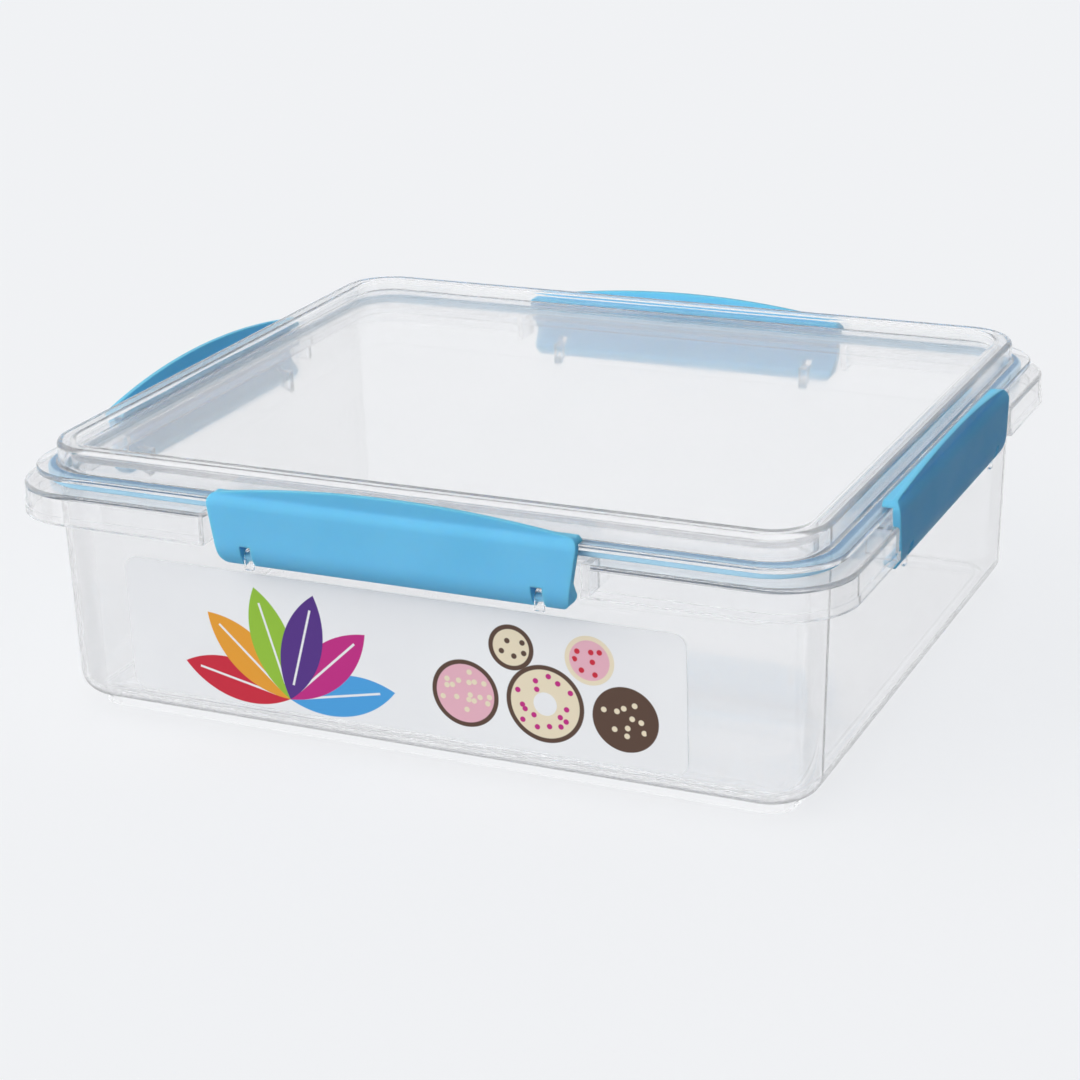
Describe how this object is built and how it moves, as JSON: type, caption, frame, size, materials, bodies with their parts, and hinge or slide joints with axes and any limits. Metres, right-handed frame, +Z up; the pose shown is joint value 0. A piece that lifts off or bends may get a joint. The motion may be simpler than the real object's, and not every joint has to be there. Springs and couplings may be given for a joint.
{
  "type": "rectangular storage container",
  "caption": "Clear rectangular food box with tapered walls, a skirted rim, a sunken-top lid with a soft seal, hinged side clips and a front label.",
  "frame": {"origin": "centre of the footprint on the surface the box stands on", "axes": "+X along the long sides, -Y out of the labelled front, +Z up"},
  "size_m": [0.2636, 0.2364, 0.0856],
  "materials": {
    "clear_tub": "clear moulded plastic, smooth",
    "clear_lid": "clear moulded plastic, smooth",
    "seal": "soft satin",
    "clip": "satin moulded plastic",
    "label_film": "printed film"
  },
  "bodies": {
    "base": {"base_tub": "clear_tub", "label": "label_film"},
    "lid": {"lid": "clear_lid", "seal": "seal"},
    "front_clip": {"clip_front": "clip"},
    "right_clip": {"clip_right": "clip"},
    "back_clip": {"clip_back": "clip"},
    "left_clip": {"clip_left": "clip"}
  },
  "joints": [
    {"name": "lid_lift", "type": "slide", "parent": "base", "child": "lid", "axis": [0, 0, 1], "range_m": [0, 0.06]},
    {"name": "front_clip_swing", "type": "hinge", "parent": "base", "child": "front_clip", "pos_m": [0, -0.11335, 0.0614], "axis": [1, 0, 0], "range_deg": [0, 120]},
    {"name": "right_clip_swing", "type": "hinge", "parent": "base", "child": "right_clip", "pos_m": [0.12685, 0, 0.0614], "axis": [0, 1, 0], "range_deg": [0, 120]},
    {"name": "back_clip_swing", "type": "hinge", "parent": "base", "child": "back_clip", "pos_m": [0, 0.11335, 0.0614], "axis": [-1, 0, 0], "range_deg": [0, 120]},
    {"name": "left_clip_swing", "type": "hinge", "parent": "base", "child": "left_clip", "pos_m": [-0.12685, 0, 0.0614], "axis": [0, -1, 0], "range_deg": [0, 120]}
  ]
}
